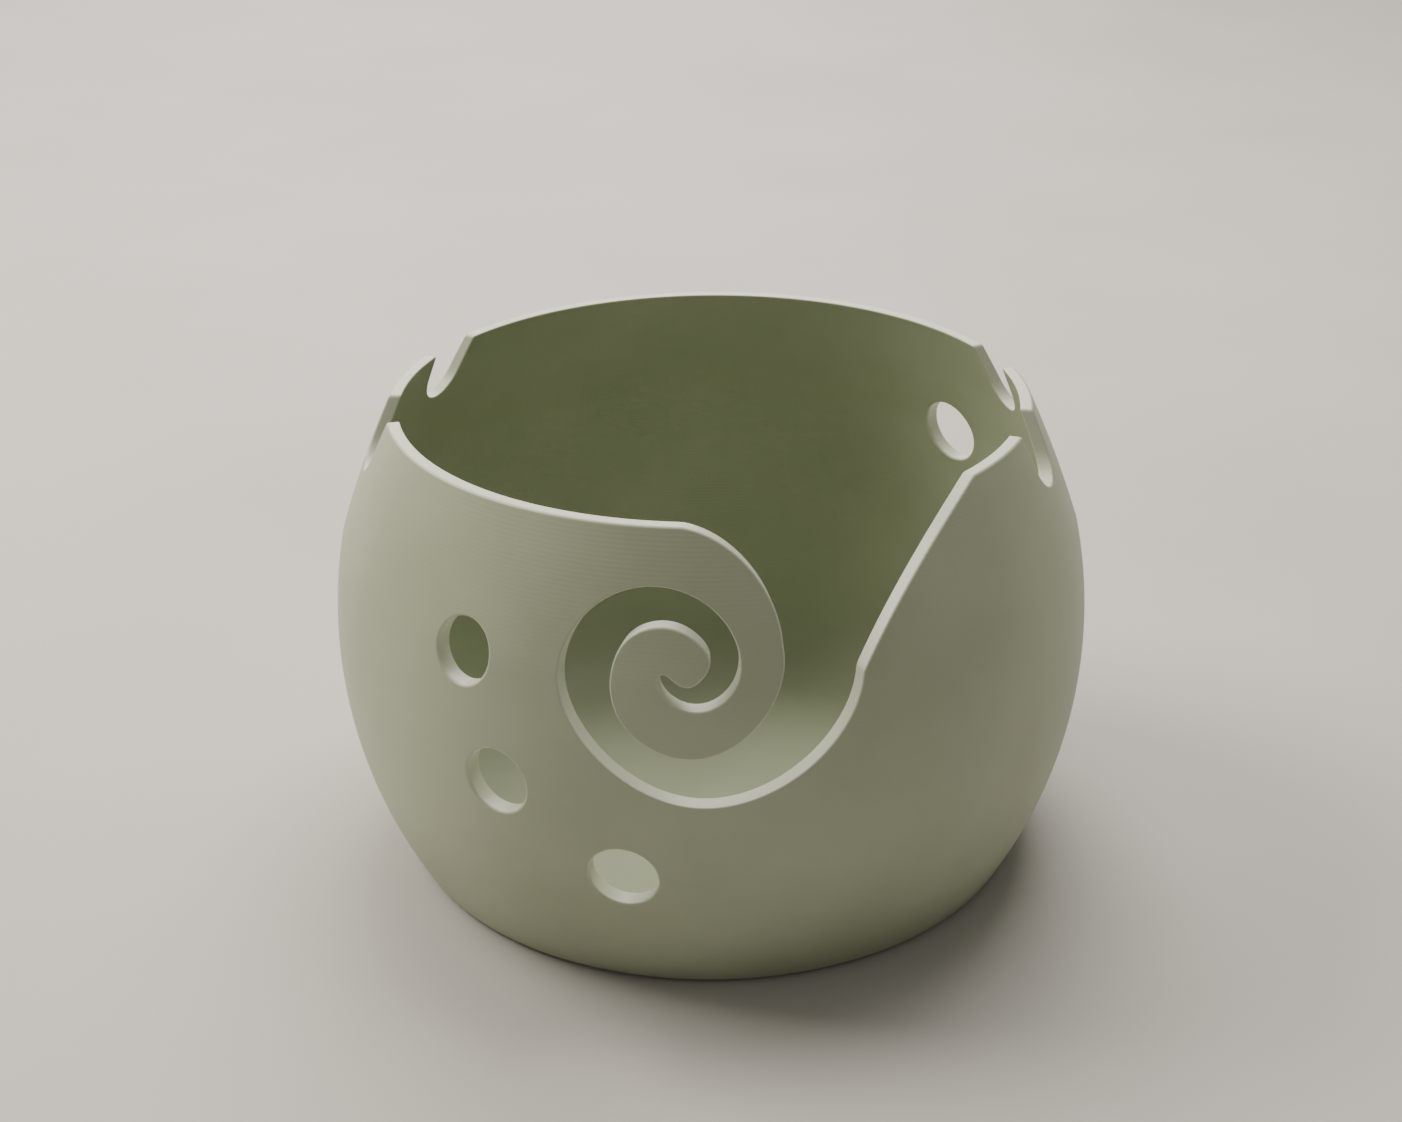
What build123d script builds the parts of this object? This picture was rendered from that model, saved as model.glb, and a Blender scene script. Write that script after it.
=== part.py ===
from build123d import *
from math import hypot, sqrt
import os

# Yarn bowl with a spiral yarn guide, crochet-hook notches, needle holes and four anti-slip foot pads.
#
# Millimetres. The bowl's axis is Z, +Z is up and -Y is the front, where the spiral opens. The origin is
# on the axis, on the surface that the foot pads stand on.

# Foot pads and the seats they are stuck in
pad_diameter = 12.0
pad_thickness = 1.8
pad_edge_round = 0.5
pad_inset = 13.0
pad_angles = {"back_right": 45, "back_left": 135, "front_left": 225, "front_right": 315}
seat_depth = 1.2
seat_clearance = 0.3

# Shell, with heights measured up from its own underside. The wall's thickness is measured level, and
# changes evenly from the foot to the crease and from the crease to the rim
shell_height = 97.0
foot_radius = 65.0
crease_radius = 75.5
crease_height = 70.8
rim_radius = 65.0
lower_bulge = 6.7
upper_bulge = 0.42
foot_wall = 4.6
crease_wall = 3.5
rim_wall = 2.6
floor_thickness = 3.0
floor_corner_radius = 22.0
foot_edge_round = 0.8
rim_edge_round = 0.4

# Spiral yarn guide, drawn on a flat front view and cut towards the bowl's axis. Its points are
# (to the right, up) from the eye of the spiral, which lies on the crease, and the drops are measured
# down from the rim
spiral_eye_across = -3.0
guide_radius = 71.0
guide_run_out = 8.0
mouth_right_across = 60.4
mouth_left_across = 3.6
flare_across = 42.3
flare_drop = 15.3
kink_across = 34.4
outer_turns = [
    (27.8, -13.8),
    (7.2, -23.8),
    (-11.9, -12.9),
    (-17.2, 1.2),
    (-12.4, 11.7),
    (-0.9, 16.3),
    (11.0, 11.2),
    (14.0, 3.2),
    (11.7, -2.3),
    (6.9, -4.8),
    (1.3, -2.4),
    (0.0, 0.3),
]
tongue_shoulder_across = 15.6
tongue_shoulder_drop = 5.9
tongue_side = (21.5, 6.1)
tongue_turns = [
    (17.8, -6.4),
    (5.6, -14.0),
    (-5.6, -8.2),
    (-8.1, 0.6),
    (-5.4, 7.5),
    (0.7, 9.75),
    (7.0, 7.3),
    (9.0, 4.0),
    (7.8, 1.2),
    (4.9, -0.5),
    (2.4, 0.8),
    (1.8, 1.3),
]
eye_end = (0.5, 1.5)

# Notches that hold a crochet hook or needle across the rim, one pair at each angle from the front
notch_angles = [78.9, 113.4]
notch_floor_radius = 6.2
notch_depth = 12.0
notch_mouth_front = 6.4
notch_mouth_back = 8.2
notch_mouth_rise = 1.0

# Needle holes: (angle from the front, height of the axis above the shell's underside, diameter)
needle_holes = [
    (-32.4, 70.2, 12.4),
    (-26.2, 46.4, 13.2),
    (-7.8, 29.8, 13.4),
    (135.8, 69.4, 14.0),
]
hole_edge_round = 0.6
# Each bore is turned about its own axis so that its seam is slanted, clear of the crease
bore_turn = (0, 0, 45)

# How far the cutters run past the wall, and how closely an edge has to lie on a bore to be rounded
cutter_overrun = 1.0
fit_tolerance = 0.01


def bulge_circle(start: tuple, end: tuple, bulge: float) -> tuple:
    """Centre and radius of the arc from start to end that stands out from their chord by bulge."""
    chord = hypot(end[0] - start[0], end[1] - start[1])
    radius = (chord**2 / 4 + bulge**2) / (2 * bulge)
    normal = ((end[1] - start[1]) / chord, (start[0] - end[0]) / chord)
    middle = ((start[0] + end[0]) / 2, (start[1] + end[1]) / 2)
    inset = bulge - radius
    return middle[0] + normal[0] * inset, middle[1] + normal[1] * inset, radius


def outside_radius(height: float) -> float:
    """Outside radius of the shell at a height above its underside."""
    centre_x, centre_z, arc_radius = lower_circle if height < crease_height else upper_circle
    return centre_x + sqrt(arc_radius**2 - (height - centre_z) ** 2)


def wall_at(height: float) -> float:
    """Level thickness of the wall at a height above the underside."""
    if height < crease_height:
        return foot_wall + (crease_wall - foot_wall) * height / crease_height
    return crease_wall + (rim_wall - crease_wall) * (height - crease_height) / (shell_height - crease_height)


def on_outside(height: float) -> tuple:
    """Point of the wall's profile on its outer face, at a height above the underside."""
    return outside_radius(height), underside + height


def on_inside(height: float) -> tuple:
    """Point of the wall's profile on its inner face, level with the outer one."""
    return outside_radius(height) - wall_at(height), underside + height


def facing_plane(angle: float, radius: float, height: float) -> Plane:
    """Upright plane whose normal points away from the axis, at an angle from the front."""
    out = Vector(0, -1, 0).rotate(Axis.Z, angle)
    along = Vector(1, 0, 0).rotate(Axis.Z, angle)
    return Plane(origin=out * radius + Vector(0, 0, height), x_dir=along, z_dir=out)


def on_bore(edge: Edge, bore_plane: Plane, bore_radius: float) -> bool:
    """Whether the middle of an edge lies on the wall of a bore along its plane's normal."""
    middle = bore_plane.to_local_coords(edge @ 0.5)
    return abs(hypot(middle.X, middle.Y) - bore_radius) < fit_tolerance


lower_circle = bulge_circle((foot_radius, 0), (crease_radius, crease_height), lower_bulge)
upper_circle = bulge_circle((crease_radius, crease_height), (rim_radius, shell_height), upper_bulge)
underside = pad_thickness - seat_depth
pad_circle_radius = foot_radius - pad_inset
outer_clear = max(foot_radius, crease_radius, rim_radius) + lower_bulge + cutter_overrun
inner_clear = min(crease_radius, rim_radius) - max(crease_wall, rim_wall) - cutter_overrun
foot = on_outside(0)
crease = on_outside(crease_height)
rim = on_outside(shell_height)
floor_edge = on_inside(floor_thickness)
upper_middle = (crease_height + shell_height) / 2
lower_middle = (floor_thickness + crease_height) / 2

# Outline of the guide: down the flared right edge to the kink, in along the outer turns to the eye,
# round its end, and out again along the tongue to the rim. The mouth runs out above the rim
rim_up = shell_height - crease_height
above_rim = rim_up + guide_run_out
kink = (kink_across, 0)
mouth_right = (mouth_right_across, rim_up)
mouth_left = (mouth_left_across, rim_up)
flare_middle = (flare_across, rim_up - flare_drop)
tongue_shoulder = (tongue_shoulder_across, rim_up - tongue_shoulder_drop)
eye = Vector(spiral_eye_across, 0, underside + crease_height)
with BuildSketch(Plane(origin=eye, x_dir=(1, 0, 0), z_dir=(0, -1, 0))) as guide_outline:
    with BuildLine():
        ThreePointArc(mouth_right, flare_middle, kink)
        Spline(kink, *outer_turns)
        ThreePointArc(outer_turns[-1], eye_end, tongue_turns[-1])
        Spline(*reversed(tongue_turns), tongue_side)
        ThreePointArc(tongue_side, tongue_shoulder, mouth_left)
        Polyline(mouth_left, (mouth_left_across, above_rim), (mouth_right_across, above_rim), mouth_right)
    make_face()

# The outline laid on an upright cylinder about the axis, so that the cut's walls all face the axis
guide_top = underside + shell_height + guide_run_out
guide_cylinder = Solid.make_cylinder(guide_radius, 2 * guide_top, Plane.XY.offset(-guide_top / 2))
guide_face = guide_outline.sketch.face().project_to_shape(guide_cylinder, (0, -1, 0))[0]
guide_reach = max(outer_clear - guide_radius, guide_radius - inner_clear)

# Notches on the right-hand side, each a round floor with a mouth that leans back, and their mirror
# images on the left
with BuildPart() as rim_notches:
    for angle in notch_angles:
        with BuildSketch(facing_plane(angle, outer_clear, underside + shell_height)):
            with BuildLine():
                CenterArc((0, notch_floor_radius - notch_depth), notch_floor_radius, 0, 360)
                Line((-notch_mouth_front, notch_mouth_rise), (notch_mouth_back, notch_mouth_rise))
            make_hull()
        extrude(amount=-(outer_clear - inner_clear))
    mirror(about=Plane.YZ)

with BuildPart() as bowl_shell:
    with BuildSketch(Plane.XZ) as wall_profile:
        with BuildLine():
            ThreePointArc(foot, on_outside(crease_height / 2), crease)
            ThreePointArc(crease, on_outside(upper_middle), rim)
            Line(rim, on_inside(shell_height))
            ThreePointArc(on_inside(shell_height), on_inside(upper_middle), on_inside(crease_height))
            ThreePointArc(on_inside(crease_height), on_inside(lower_middle), floor_edge)
            Polyline(floor_edge, (0, floor_edge[1]), (0, underside), foot)
        make_face()
        fillet(wall_profile.vertices().group_by(Axis.Y)[-1], rim_edge_round)
        fillet(wall_profile.vertices().sort_by_distance(floor_edge)[0], floor_corner_radius)
        fillet(wall_profile.vertices().sort_by_distance(foot)[0], foot_edge_round)
    revolve(axis=Axis.Z)
    # The spiral guide
    thicken(guide_face, amount=guide_reach, both=True, mode=Mode.SUBTRACT)
    # The rim notches
    add(rim_notches.part, mode=Mode.SUBTRACT)
    # The needle holes, level and pointing at the axis, with rounded edges
    for angle, height, diameter in needle_holes:
        hole_plane = facing_plane(angle, outside_radius(height) - wall_at(height) / 2, underside + height)
        with Locations(hole_plane):
            Cylinder(diameter / 2, wall_at(height) + diameter, rotation=bore_turn, mode=Mode.SUBTRACT)
        new_curves = bowl_shell.edges(Select.NEW).filter_by(GeomType.LINE, reverse=True)
        fillet(new_curves.filter_by(lambda edge: on_bore(edge, hole_plane, diameter / 2)), hole_edge_round)
    # The seats of the foot pads, sunk into the underside
    with BuildSketch(Plane.XY.offset(underside)):
        for angle in pad_angles.values():
            with PolarLocations(pad_circle_radius, 1, start_angle=angle):
                Circle(pad_diameter / 2 + seat_clearance)
    extrude(amount=seat_depth, mode=Mode.SUBTRACT)

finished = {"bowl_shell": bowl_shell}

# Foot pads, each resting against the top of its seat and standing out below the underside
for place, angle in pad_angles.items():
    with BuildPart() as foot_pad:
        with BuildSketch():
            with PolarLocations(pad_circle_radius, 1, start_angle=angle):
                Circle(pad_diameter / 2)
        extrude(amount=pad_thickness)
        fillet(foot_pad.edges().group_by(Axis.Z)[0], pad_edge_round)
    finished["foot_pad_" + place] = foot_pad

os.makedirs("parts", exist_ok=True)
for name, piece in finished.items():
    piece.part.label = name
    export_step(piece.part, f"parts/{name}.step")
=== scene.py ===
import logging
import math
from dataclasses import dataclass, field
from enum import Enum

import bpy
import numpy as np
from mathutils import Matrix, Vector
from mathutils.geometry import delaunay_2d_cdt


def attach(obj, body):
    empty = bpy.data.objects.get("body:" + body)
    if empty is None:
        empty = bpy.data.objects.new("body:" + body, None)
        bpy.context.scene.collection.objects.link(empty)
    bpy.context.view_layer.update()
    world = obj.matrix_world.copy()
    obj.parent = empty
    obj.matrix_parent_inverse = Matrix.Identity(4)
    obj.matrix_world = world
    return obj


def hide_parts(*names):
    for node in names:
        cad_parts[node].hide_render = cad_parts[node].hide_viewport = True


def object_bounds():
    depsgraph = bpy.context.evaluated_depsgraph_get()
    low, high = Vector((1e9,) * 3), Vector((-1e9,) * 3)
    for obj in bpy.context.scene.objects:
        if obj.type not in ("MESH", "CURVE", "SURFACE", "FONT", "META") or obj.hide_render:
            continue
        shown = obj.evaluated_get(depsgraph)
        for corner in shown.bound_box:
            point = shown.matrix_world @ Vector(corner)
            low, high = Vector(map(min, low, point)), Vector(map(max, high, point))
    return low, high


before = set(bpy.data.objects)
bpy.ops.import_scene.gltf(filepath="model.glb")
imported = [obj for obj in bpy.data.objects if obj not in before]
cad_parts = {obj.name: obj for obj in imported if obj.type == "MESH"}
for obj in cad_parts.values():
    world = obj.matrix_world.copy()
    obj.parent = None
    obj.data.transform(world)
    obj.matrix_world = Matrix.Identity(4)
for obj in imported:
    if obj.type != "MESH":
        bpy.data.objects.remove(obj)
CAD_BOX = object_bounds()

LOG = logging.getLogger("yarn_bowl")
MM = 0.001
MERGE_MM = 2e-4
TINY = 1e-12
TEST_BLOCK = 4000
BODY = "root"


class Slot(Enum):
    """The record's material slots."""

    SHELL = "shell_plastic"
    PAD = "pad_silicone"


class Ring(Enum):
    """Which end of a lathe profile closes on the axis."""

    OPEN = "open"
    END_ON_AXIS = "end_on_axis"


# Colour and node helpers


def linear(hex_colour: str, alpha: float = 1.0) -> tuple[float, float, float, float]:
    """Turns an sRGB hex colour into the linear colour that the shaders use.

    Args:
        hex_colour: six hex digits after a hash.
        alpha: the fourth value.

    Returns:
        Red, green, blue and alpha, linear.
    """
    channels = [int(hex_colour[i : i + 2], 16) / 255 for i in (1, 3, 5)]
    curve = [c / 12.92 if c <= 0.04045 else ((c + 0.055) / 1.055) ** 2.4 for c in channels]
    return curve[0], curve[1], curve[2], alpha


def add_node(
    tree: bpy.types.NodeTree,
    kind: str,
    settings: dict[str, object] | None = None,
    sockets: dict[str, object] | None = None,
) -> bpy.types.Node:
    """Adds a node with its settings and links.

    Args:
        tree: the node tree it goes into.
        kind: the node's type name.
        settings: the node's own properties.
        sockets: input name to a constant, or to the output socket that feeds it.

    Returns:
        The new node.
    """
    node = tree.nodes.new(kind)
    for name, value in (settings or {}).items():
        setattr(node, name, value)
    for name, value in (sockets or {}).items():
        if isinstance(value, bpy.types.NodeSocket):
            tree.links.new(value, node.inputs[name])
        else:
            node.inputs[name].default_value = value
    return node


def new_material(name: str) -> tuple[bpy.types.Material, bpy.types.NodeTree]:
    """An empty node material.

    Args:
        name: what the finish is called.

    Returns:
        The material and its empty node tree.
    """
    material = bpy.data.materials.new(name)
    material.use_nodes = True
    material.node_tree.nodes.clear()
    return material, material.node_tree


def shade(tree: bpy.types.NodeTree, sockets: dict[str, object]) -> None:
    """Ends a material's tree with a principled shader and the output.

    Args:
        tree: the node tree it goes into.
        sockets: the shader's inputs.
    """
    shader = add_node(tree, "ShaderNodeBsdfPrincipled", sockets=sockets)
    add_node(tree, "ShaderNodeOutputMaterial", sockets={"Surface": shader.outputs["BSDF"]})


def colour_ramp(
    tree: bpy.types.NodeTree, fac: bpy.types.NodeSocket, stops: list[tuple[float, tuple]]
) -> bpy.types.Node:
    """A ramp node with the given stops.

    Args:
        tree: the node tree it goes into.
        fac: the socket that drives it.
        stops: (position, colour) pairs, two or more.

    Returns:
        The ramp node.
    """
    node = add_node(tree, "ShaderNodeValToRGB", sockets={"Fac": fac})
    elements = node.color_ramp.elements
    while len(elements) < len(stops):
        elements.new(1.0)
    for element, (position, colour) in zip(elements, stops):
        element.position = position
        element.color = colour
    return node


# Finishes


@dataclass(frozen=True)
class SatinPrintedPla:
    """Sage-green PLA, printed in thin layers and rubbed to a satin. The eye reads a soft, almost chalky
    green with a broad sheen, slow tone drift, the ghost of the print layers, and glossier cut edges with
    a painted highlight: their colour is mixed towards a pale tint that stands in for the light they
    catch."""

    name: str = "satin_printed_pla_sage"
    body_light: str = "#adb499"
    body_dark: str = "#a1a88d"
    # Painted highlight: a pale tint, and how much of it is mixed into the cut edges' colour in place of
    # the light they catch.
    painted_highlight_tint: str = "#d8dac8"
    painted_highlight_share: float = 0.55
    roughness: float = 0.42
    edge_roughness: float = 0.33
    ior: float = 1.46
    drift_mm: float = 38.0
    grain_mm: float = 0.55
    layer_mm: float = 0.8
    layer_depth_mm: float = 0.004
    grain_depth_mm: float = 0.012

    def build(self) -> bpy.types.Material:
        """Makes the material.

        Returns:
            The finished material.
        """
        material, tree = new_material(self.name)
        where = add_node(tree, "ShaderNodeTexCoord").outputs["Object"]
        drift = add_node(tree, "ShaderNodeTexNoise", sockets={
            "Vector": where, "Scale": 1 / (self.drift_mm * MM), "Detail": 3.0, "Roughness": 0.5})
        grain = add_node(tree, "ShaderNodeTexNoise", sockets={
            "Vector": where, "Scale": 1 / (self.grain_mm * MM), "Detail": 4.0, "Roughness": 0.6})
        tone = colour_ramp(tree, drift.outputs["Fac"], [
            (0.3, linear(self.body_dark)), (0.7, linear(self.body_light))])
        # The edge mask drives a painted highlight (a pale tint mixed into the colour) and a real, lower
        # roughness on the cut edges.
        edge = add_node(tree, "ShaderNodeAttribute", {"attribute_name": "edge"}).outputs["Fac"]
        share = add_node(tree, "ShaderNodeMath", {"operation": "MULTIPLY"}, {0: edge, 1: self.painted_highlight_share})
        colour = add_node(tree, "ShaderNodeMix", {"data_type": "RGBA"}, {
            0: share.outputs[0], 6: tone.outputs["Color"], 7: linear(self.painted_highlight_tint)})
        satin = add_node(tree, "ShaderNodeMapRange", sockets={
            "Value": edge, "To Min": self.roughness, "To Max": self.edge_roughness})
        rough = add_node(tree, "ShaderNodeMath", {"operation": "MULTIPLY_ADD"}, {
            0: grain.outputs["Fac"], 1: 0.10, 2: satin.outputs[0]})
        split = add_node(tree, "ShaderNodeSeparateXYZ", sockets={"Vector": where})
        turns = add_node(tree, "ShaderNodeMath", {"operation": "MULTIPLY"}, {
            0: split.outputs["Z"], 1: 2 * math.pi / (self.layer_mm * MM)})
        ripple = add_node(tree, "ShaderNodeMath", {"operation": "SINE"}, {0: turns.outputs[0]})
        layers = add_node(tree, "ShaderNodeBump", sockets={
            "Strength": 1.0, "Distance": self.layer_depth_mm * MM, "Height": ripple.outputs[0]})
        relief = add_node(tree, "ShaderNodeBump", sockets={
            "Strength": 1.0, "Distance": self.grain_depth_mm * MM, "Height": grain.outputs["Fac"],
            "Normal": layers.outputs["Normal"]})
        shade(tree, {
            "Base Color": colour.outputs[2], "Roughness": rough.outputs[0], "IOR": self.ior,
            "Normal": relief.outputs["Normal"]})
        return material


@dataclass(frozen=True)
class MouldedSilicone:
    """Clear-grey silicone, cast in a mould. The eye reads a soft, slightly cloudy rubber with a dull
    sheen and a fine matt skin."""

    name: str = "moulded_silicone_grey"
    clear: str = "#c9c9c3"
    cloudy: str = "#b3b4ae"
    roughness: float = 0.38
    ior: float = 1.41
    cloud_mm: float = 5.0
    skin_mm: float = 0.3
    skin_depth_mm: float = 0.01

    def build(self) -> bpy.types.Material:
        """Makes the material.

        Returns:
            The finished material.
        """
        material, tree = new_material(self.name)
        where = add_node(tree, "ShaderNodeTexCoord").outputs["Object"]
        cloud = add_node(tree, "ShaderNodeTexNoise", sockets={
            "Vector": where, "Scale": 1 / (self.cloud_mm * MM), "Detail": 2.0})
        skin = add_node(tree, "ShaderNodeTexNoise", sockets={
            "Vector": where, "Scale": 1 / (self.skin_mm * MM), "Detail": 3.0})
        tone = colour_ramp(tree, cloud.outputs["Fac"], [
            (0.35, linear(self.cloudy)), (0.65, linear(self.clear))])
        relief = add_node(tree, "ShaderNodeBump", sockets={
            "Strength": 1.0, "Distance": self.skin_depth_mm * MM, "Height": skin.outputs["Fac"]})
        shade(tree, {
            "Base Color": tone.outputs["Color"], "Roughness": self.roughness, "IOR": self.ior,
            "Subsurface Weight": 0.35, "Subsurface Scale": 0.001, "Normal": relief.outputs["Normal"]})
        return material


@dataclass(frozen=True)
class PaleStudioFloor:
    """Pale matt studio paper."""

    name: str = "pale_studio_paper"
    paper: str = "#c6c2bb"
    fleck: str = "#c1bdb6"
    roughness: float = 0.75
    fleck_mm: float = 120.0

    def build(self) -> bpy.types.Material:
        """Makes the material.

        Returns:
            The finished material.
        """
        material, tree = new_material(self.name)
        where = add_node(tree, "ShaderNodeTexCoord").outputs["Object"]
        noise = add_node(tree, "ShaderNodeTexNoise", sockets={
            "Vector": where, "Scale": 1 / (self.fleck_mm * MM), "Detail": 2.0})
        tone = colour_ramp(tree, noise.outputs["Fac"], [
            (0.35, linear(self.fleck)), (0.65, linear(self.paper))])
        shade(tree, {
            "Base Color": tone.outputs["Color"], "Roughness": self.roughness,
            "Specular IOR Level": 0.2})
        return material


# Surfaces


@dataclass
class Patch:
    """A piece of surface in millimetres, with its own normals, so that it shades smoothly inside itself
    and sharply where it meets another patch at an angle."""

    points: np.ndarray
    normals: np.ndarray
    triangles: np.ndarray
    edge: np.ndarray

    def flipped(self) -> "Patch":
        """The same surface facing the other way."""
        return Patch(self.points, -self.normals, self.triangles[:, ::-1], self.edge)

    def flipped_winding(self) -> "Patch":
        """The same surface with its corners in the other order and its normals as they are."""
        return Patch(self.points, self.normals, self.triangles[:, ::-1], self.edge)


def grid_triangles(rows: int, columns: int, closed: bool) -> np.ndarray:
    """Two triangles for each cell of a grid of points stored row after row.

    Args:
        rows: how many rows.
        columns: how many points in a row.
        closed: whether a row's last point joins its first.

    Returns:
        The triangles, as rows of three point numbers.
    """
    across = np.arange(columns if closed else columns - 1)
    beside = (across + 1) % columns
    down = np.arange(rows - 1)[:, None] * columns
    a, b = down + across, down + beside
    c, d = b + columns, a + columns
    return np.concatenate([np.stack(corners, -1).reshape(-1, 3) for corners in ((a, b, c), (a, c, d))])


def unit(vectors: np.ndarray) -> np.ndarray:
    """Vectors scaled to length one."""
    return vectors / np.maximum(np.linalg.norm(vectors, axis=-1, keepdims=True), TINY)


def turned(profile: np.ndarray, normals: np.ndarray, azimuths: np.ndarray, ring: Ring) -> Patch:
    """A lathe surface: each profile point (radius, height) goes round the axis at every azimuth.

    Args:
        profile: (radius, height) points.
        normals: (outward, up) normal at each point.
        azimuths: angles from the front, counter-clockwise seen from above.
        ring: whether the last profile point lies on the axis.

    Returns:
        The surface, whose first triangle edge runs with the azimuth and second along the profile.
    """
    out = np.stack([np.sin(azimuths), -np.cos(azimuths)], -1)

    def carried(flat: np.ndarray) -> np.ndarray:
        """(Outward, up) vectors carried round the axis to every azimuth."""
        up = np.broadcast_to(flat[:, None, 1:], (len(flat), len(out), 1))
        return np.concatenate([flat[:, None, :1] * out, up], -1).reshape(-1, 3)

    points, faces = carried(profile), unit(carried(normals))
    triangles = grid_triangles(len(profile), len(azimuths), True)
    if ring is Ring.END_ON_AXIS:
        last = (len(profile) - 1) * len(azimuths)
        triangles = triangles[(triangles >= last).sum(1) < 2]
        triangles = np.where(triangles >= last, last, triangles)
        points, faces = points[: last + 1], faces[: last + 1]
        points[last, :2] = 0
    return Patch(points, faces, triangles, np.zeros(len(points)))


def inside(points: np.ndarray, loop: np.ndarray) -> np.ndarray:
    """Whether flat points lie inside a closed outline: a line from the point to the right crosses the
    outline an odd number of times.

    Args:
        points: flat points to test.
        loop: the outline's points in order.

    Returns:
        True for each point inside.
    """
    after = np.roll(loop, -1, 0)
    found = np.zeros(len(points), bool)
    for block in np.array_split(np.arange(len(points)), max(1, len(points) // TEST_BLOCK)):
        p = points[block][:, None]
        spans = (loop[:, 1] > p[..., 1]) != (after[:, 1] > p[..., 1])
        rise = np.where(after[:, 1] == loop[:, 1], TINY, after[:, 1] - loop[:, 1])
        crossing = loop[:, 0] + (p[..., 1] - loop[:, 1]) * (after[:, 0] - loop[:, 0]) / rise
        found[block] = (spans & (crossing > p[..., 0])).sum(1) % 2 == 1
    return found


def far_from(points: np.ndarray, others: np.ndarray, gap: float) -> np.ndarray:
    """Whether each flat point is at least gap away from every one of the others."""
    keep = np.ones(len(points), bool)
    for block in np.array_split(np.arange(len(points)), max(1, len(points) // TEST_BLOCK)):
        keep[block] = ((points[block][:, None] - others) ** 2).sum(-1).min(1) > gap**2
    return keep


def trimmed_sheet(
    outline: np.ndarray, holes: list[np.ndarray], grid: np.ndarray, gap: float
) -> tuple[np.ndarray, np.ndarray]:
    """Triangles over the inside of a flat outline, less its holes, with grid points in between.

    Args:
        outline: the outer loop's points in order.
        holes: the loops of the holes.
        grid: points that may be used inside.
        gap: how near a grid point may come to a loop.

    Returns:
        The flat points, loops first, and the triangles, which run counter-clockwise.
    """
    loops = [outline, *holes]
    rims = np.concatenate(loops)
    grid = grid[inside(grid, outline)]
    for hole in holes:
        grid = grid[~inside(grid, hole)]
    grid = grid[far_from(grid, rims, gap)]
    flat = np.concatenate([rims, grid])
    first = np.cumsum([0] + [len(loop) for loop in loops])
    edges = np.concatenate([
        np.stack([np.arange(n), (np.arange(n) + 1) % n], -1) + start
        for n, start in zip(map(len, loops), first)])
    made = delaunay_2d_cdt(list(map(Vector, flat.tolist())), edges.tolist(), [], 0, 1e-7)
    source = np.array([given[0] if given else -1 for given in made[3]])
    flat_out = np.where(source[:, None] >= 0, flat[source], np.array([tuple(v) for v in made[0]]))
    triangles = np.array(made[2])
    middle = flat_out[triangles].mean(1)
    keep = inside(middle, outline)
    for hole in holes:
        keep &= ~inside(middle, hole)
    triangles = triangles[keep]
    a, b, c = (flat_out[triangles[:, i]] for i in range(3))
    area = (b[:, 0] - a[:, 0]) * (c[:, 1] - a[:, 1]) - (b[:, 1] - a[:, 1]) * (c[:, 0] - a[:, 0])
    triangles[area < 0] = triangles[area < 0][:, ::-1]
    return flat_out, triangles[np.abs(area) > 1e-9]


def mesh_object(
    name: str, patches: list[Patch], material: bpy.types.Material
) -> bpy.types.Object:
    """One closed mesh from patches that meet along shared points, which are merged.

    Args:
        name: the piece's name.
        patches: its surfaces in millimetres, facing outwards.
        material: its finish.

    Returns:
        The piece, riding on the body.
    """
    starts = np.cumsum([0] + [len(p.points) for p in patches])
    points = np.concatenate([p.points for p in patches])
    normals = np.concatenate([p.normals for p in patches])
    edge = np.concatenate([p.edge for p in patches])
    triangles = np.concatenate([p.triangles + s for p, s in zip(patches, starts)])
    cells = np.round(points / MERGE_MM).astype(np.int64)
    _, first, same = np.unique(cells, axis=0, return_index=True, return_inverse=True)
    same = same.reshape(-1)
    merged = same[triangles]
    real = (merged != np.roll(merged, 1, 1)).all(1)
    corners = normals[triangles[real]].reshape(-1, 3)
    merged = merged[real]
    mesh = bpy.data.meshes.new(name)
    mesh.from_pydata((points[first] * MM).tolist(), [], merged.tolist())
    mesh.polygons.foreach_set("use_smooth", np.ones(len(merged), bool))
    mask = mesh.attributes.new("edge", "FLOAT", "POINT")
    mask.data.foreach_set("value", edge[first].astype(np.float32))
    mesh.normals_split_custom_set(unit(corners).tolist())
    mesh.update()
    mesh.materials.append(material)
    piece = bpy.data.objects.new(name, mesh)
    bpy.context.scene.collection.objects.link(piece)
    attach(piece, BODY)
    return piece


# Curves


def spline_through(points: np.ndarray, spacing: float) -> np.ndarray:
    """A smooth curve through points: cubic pieces in the running chord length, whose slope and bend
    match where they meet, and whose bend changes evenly over the first two and last two spans.

    Args:
        points: the points that it passes through.
        spacing: about how far apart the new points lie.

    Returns:
        Points along the curve, ends included.
    """
    t = np.concatenate([[0], np.cumsum(np.linalg.norm(np.diff(points, axis=0), axis=1))])
    n, h = len(points), np.diff(t)
    system, right = np.zeros((n, n)), np.zeros((n, points.shape[1]))
    inner = np.arange(1, n - 1)
    system[inner, inner - 1], system[inner, inner + 1] = h[:-1], h[1:]
    system[inner, inner] = 2 * (h[:-1] + h[1:])
    right[inner] = 6 * np.diff(np.diff(points, axis=0) / h[:, None], axis=0)
    system[0, :3] = h[1], -(h[0] + h[1]), h[0]
    system[-1, -3:] = h[-1], -(h[-2] + h[-1]), h[-2]
    bend = np.linalg.solve(system, right)
    s = np.linspace(0, t[-1], max(8, int(t[-1] / spacing) + 1))
    i = np.clip(np.searchsorted(t, s, side="right") - 1, 0, n - 2)
    a, b = ((t[i + 1] - s) / h[i])[:, None], ((s - t[i]) / h[i])[:, None]
    width = (h[i] ** 2 / 6)[:, None]
    return a * points[i] + b * points[i + 1] + width * ((a**3 - a) * bend[i] + (b**3 - b) * bend[i + 1])


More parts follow.
